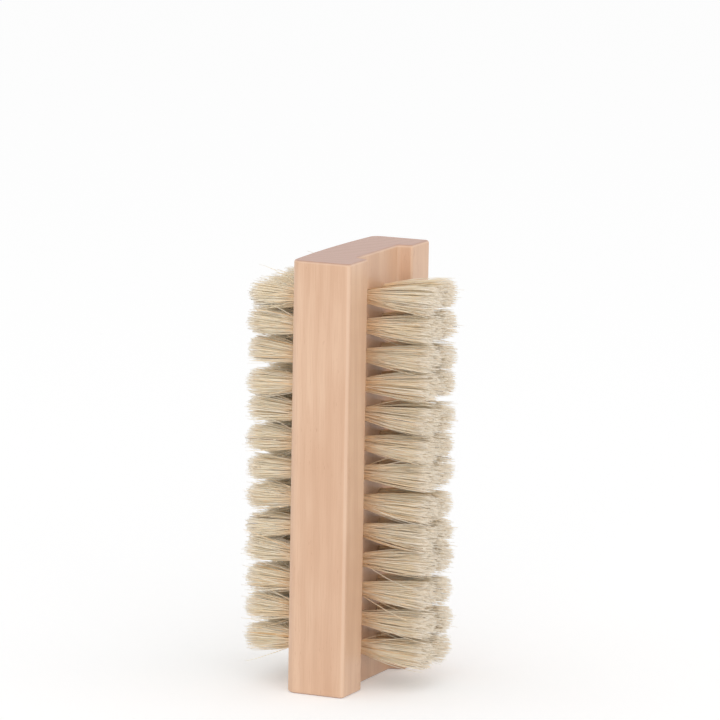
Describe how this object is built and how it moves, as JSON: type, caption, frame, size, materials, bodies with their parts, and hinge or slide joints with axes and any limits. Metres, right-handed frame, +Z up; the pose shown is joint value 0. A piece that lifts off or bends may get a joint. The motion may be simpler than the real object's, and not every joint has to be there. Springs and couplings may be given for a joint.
{
  "type": "nail brush",
  "caption": "Double-sided nail brush: a moulded wooden block with rows of natural bristle tufts on its crowned face and in the shallow channel of the other face.",
  "frame": {"origin": "middle of the block's lower end face, which the brush stands on", "axes": "+Z up along the length of the block, +X through its thickness from the crowned face to the channelled face, +Y across its width"},
  "size_m": [0.0379, 0.04, 0.09],
  "materials": {
    "wood": "satin lacquer on pale, fine-grained wood",
    "bristle": "undyed natural bristle",
    "anchor_wire": "drawn flat wire"
  },
  "bodies": {
    "root": {"brush_block": "wood", "crown_tufts_row_01": "bristle", "crown_tufts_row_02": "bristle", "crown_tufts_row_03": "bristle", "crown_tufts_row_04": "bristle", "crown_tufts_row_05": "bristle", "crown_tufts_row_06": "bristle", "crown_tufts_row_07": "bristle", "crown_tufts_row_08": "bristle", "crown_tufts_row_09": "bristle", "crown_tufts_row_10": "bristle", "crown_tufts_row_11": "bristle", "crown_tufts_row_12": "bristle", "crown_tufts_row_13": "bristle", "crown_anchors": "anchor_wire", "recess_tufts_row_01": "bristle", "recess_tufts_row_02": "bristle", "recess_tufts_row_03": "bristle", "recess_tufts_row_04": "bristle", "recess_tufts_row_05": "bristle", "recess_tufts_row_06": "bristle", "recess_tufts_row_07": "bristle", "recess_tufts_row_08": "bristle", "recess_tufts_row_09": "bristle", "recess_tufts_row_10": "bristle", "recess_tufts_row_11": "bristle", "recess_tufts_row_12": "bristle", "recess_tufts_row_13": "bristle", "recess_anchors": "anchor_wire"}
  },
  "joints": []
}
